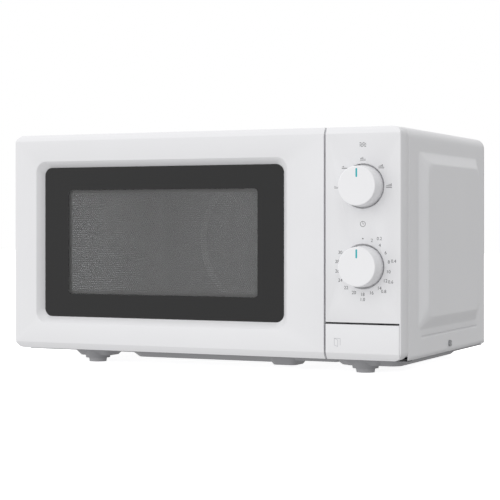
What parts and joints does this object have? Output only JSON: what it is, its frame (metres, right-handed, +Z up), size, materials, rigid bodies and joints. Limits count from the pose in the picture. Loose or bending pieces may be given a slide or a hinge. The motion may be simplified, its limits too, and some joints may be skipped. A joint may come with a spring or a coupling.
{
  "type": "microwave oven",
  "caption": "Countertop microwave oven with a side-hinged window door, two dials, a release button under them, and a turntable.",
  "frame": {"origin": "under the middle of the whole box, at the level of the feet", "axes": "+X to the right as seen from the front, +Y from the front to the rear, +Z up"},
  "size_m": [0.452, 0.325, 0.2475],
  "materials": {
    "white_enamel": "matt white powder coat",
    "galvanised": "galvanised sheet",
    "cavity_enamel": "grey epoxy enamel",
    "white_plastic": "fine-textured moulded plastic",
    "knob_plastic": "satin moulded plastic",
    "teal_mark": "teal inlay",
    "rubber": "moulded rubber",
    "tinted_glass": "tinted glass with a printed border",
    "screen_steel": "black-enamelled perforated sheet",
    "dark_plastic": "moulded plastic",
    "clear_film": "clear polyester film",
    "clear_glass": "pressed clear glass",
    "grey_plastic": "moulded plastic",
    "natural_plastic": "moulded nylon",
    "steel": "turned or drawn steel",
    "spring_steel": "spring wire",
    "aluminium_fin": "rolled aluminium",
    "laminated_iron": "varnished laminated steel",
    "copper_winding": "enamelled copper wire",
    "mica": "mica sheet",
    "bell_metal": "plated steel",
    "board": "printed circuit board"
  },
  "bodies": {
    "cabinet": {"outer_case": "white_enamel", "base_plate": "galvanised", "foot_pads": "rubber", "rear_panel": "galvanised", "rear_spacers": "dark_plastic", "cord_gland": "dark_plastic", "case_screws": "steel", "cavity": "cavity_enamel", "front_plate": "cavity_enamel", "hinges": "steel", "control_panel": "white_plastic", "timer_unit": "natural_plastic", "timer_motor": "steel", "timer_bell": "bell_metal", "latch_board": "natural_plastic", "microswitches": "dark_plastic", "waveguide": "galvanised", "waveguide_cover": "mica", "magnetron_core": "steel", "magnetron_fins": "aluminium_fin", "magnetron_yoke": "galvanised", "magnetron_filter_box": "galvanised", "transformer_core": "laminated_iron", "transformer_windings": "copper_winding", "capacitor": "aluminium_fin", "capacitor_clamp": "galvanised", "diode": "dark_plastic", "fan_shroud": "dark_plastic", "fan_motor": "laminated_iron", "lamp_socket": "galvanised", "lamp": "clear_glass", "turntable_motor": "steel", "thermal_cutouts": "dark_plastic", "filter_board": "board"},
    "door": {"door_frame": "white_plastic", "door_glass": "tinted_glass", "door_screen": "screen_steel", "door_choke": "galvanised", "door_trim": "grey_plastic", "door_inner_film": "clear_film", "hinge_bushes": "natural_plastic", "hook_guide": "natural_plastic"},
    "latch_bar": {"latch_hooks": "natural_plastic", "hook_spring": "spring_steel"},
    "button": {"release_button": "white_plastic", "button_springs": "spring_steel"},
    "lever": {"release_lever": "natural_plastic"},
    "power_dial": {"power_knob": "knob_plastic", "power_index": "teal_mark", "power_shaft": "steel"},
    "timer_dial": {"timer_knob": "knob_plastic", "timer_index": "teal_mark", "timer_shaft": "steel"},
    "turntable": {"turntable_coupler": "natural_plastic", "glass_tray": "clear_glass"},
    "ring": {"roller_ring": "natural_plastic"},
    "roller_a": {"roller_1": "grey_plastic"},
    "roller_b": {"roller_2": "grey_plastic"},
    "roller_c": {"roller_3": "grey_plastic"},
    "fan": {"fan_blade": "grey_plastic"}
  },
  "joints": [
    {"name": "door_hinge", "type": "hinge", "parent": "cabinet", "child": "door", "pos_m": [-0.2095, -0.133, 0.1295], "axis": [0, 0, -1], "range_deg": [0, 95]},
    {"name": "hook_lift", "type": "slide", "parent": "door", "child": "latch_bar", "axis": [0, 0, 1], "range_m": [0, 0.004], "stiffness_N_per_m": 300, "springref_m": -0.002, "deforming": ["hook_spring"]},
    {"name": "button_press", "type": "slide", "parent": "cabinet", "child": "button", "axis": [0, 1, 0], "range_m": [0, 0.004], "stiffness_N_per_m": 600, "springref_m": -0.002, "deforming": ["button_springs"]},
    {"name": "lever_rock", "type": "hinge", "parent": "cabinet", "child": "lever", "pos_m": [0.1266, -0.1115, 0.0536], "axis": [1, 0, 0], "range_deg": [0, 18]},
    {"name": "power_turn", "type": "hinge", "parent": "cabinet", "child": "power_dial", "pos_m": [0.1808, -0.1445, 0.1855], "axis": [0, 1, 0], "range_deg": [-90, 90]},
    {"name": "timer_turn", "type": "hinge", "parent": "cabinet", "child": "timer_dial", "pos_m": [0.1808, -0.1445, 0.107], "axis": [0, 1, 0], "range_deg": [0, 300]},
    {"name": "turntable_spin", "type": "hinge", "parent": "cabinet", "child": "turntable", "pos_m": [-0.046, 0.0056, 0.031], "axis": [0, 0, 1], "continuous": true},
    {"name": "ring_spin", "type": "hinge", "parent": "cabinet", "child": "ring", "pos_m": [-0.046, 0.0056, 0.031], "axis": [0, 0, 1], "continuous": true},
    {"name": "roller_a_spin", "type": "hinge", "parent": "ring", "child": "roller_a", "pos_m": [0.03541, 0.0526, 0.0363], "axis": [0.866, 0.5, 0], "continuous": true},
    {"name": "roller_b_spin", "type": "hinge", "parent": "ring", "child": "roller_b", "pos_m": [-0.12741, 0.0526, 0.0363], "axis": [-0.866, 0.5, 0], "continuous": true},
    {"name": "roller_c_spin", "type": "hinge", "parent": "ring", "child": "roller_c", "pos_m": [-0.046, -0.0884, 0.0363], "axis": [0, -1, 0], "continuous": true},
    {"name": "fan_spin", "type": "hinge", "parent": "cabinet", "child": "fan", "pos_m": [0.156, 0.1075, 0.14], "axis": [0, 1, 0], "continuous": true}
  ],
  "couplings": [
    {"joint": "hook_lift", "follows": "button_press", "ratio": 1},
    {"joint": "lever_rock", "follows": "button_press", "rad_per_m": 76.923},
    {"joint": "ring_spin", "follows": "turntable_spin", "ratio": 0.5},
    {"joint": "roller_a_spin", "follows": "turntable_spin", "ratio": -6.2667},
    {"joint": "roller_b_spin", "follows": "turntable_spin", "ratio": -6.2667},
    {"joint": "roller_c_spin", "follows": "turntable_spin", "ratio": -6.2667}
  ]
}
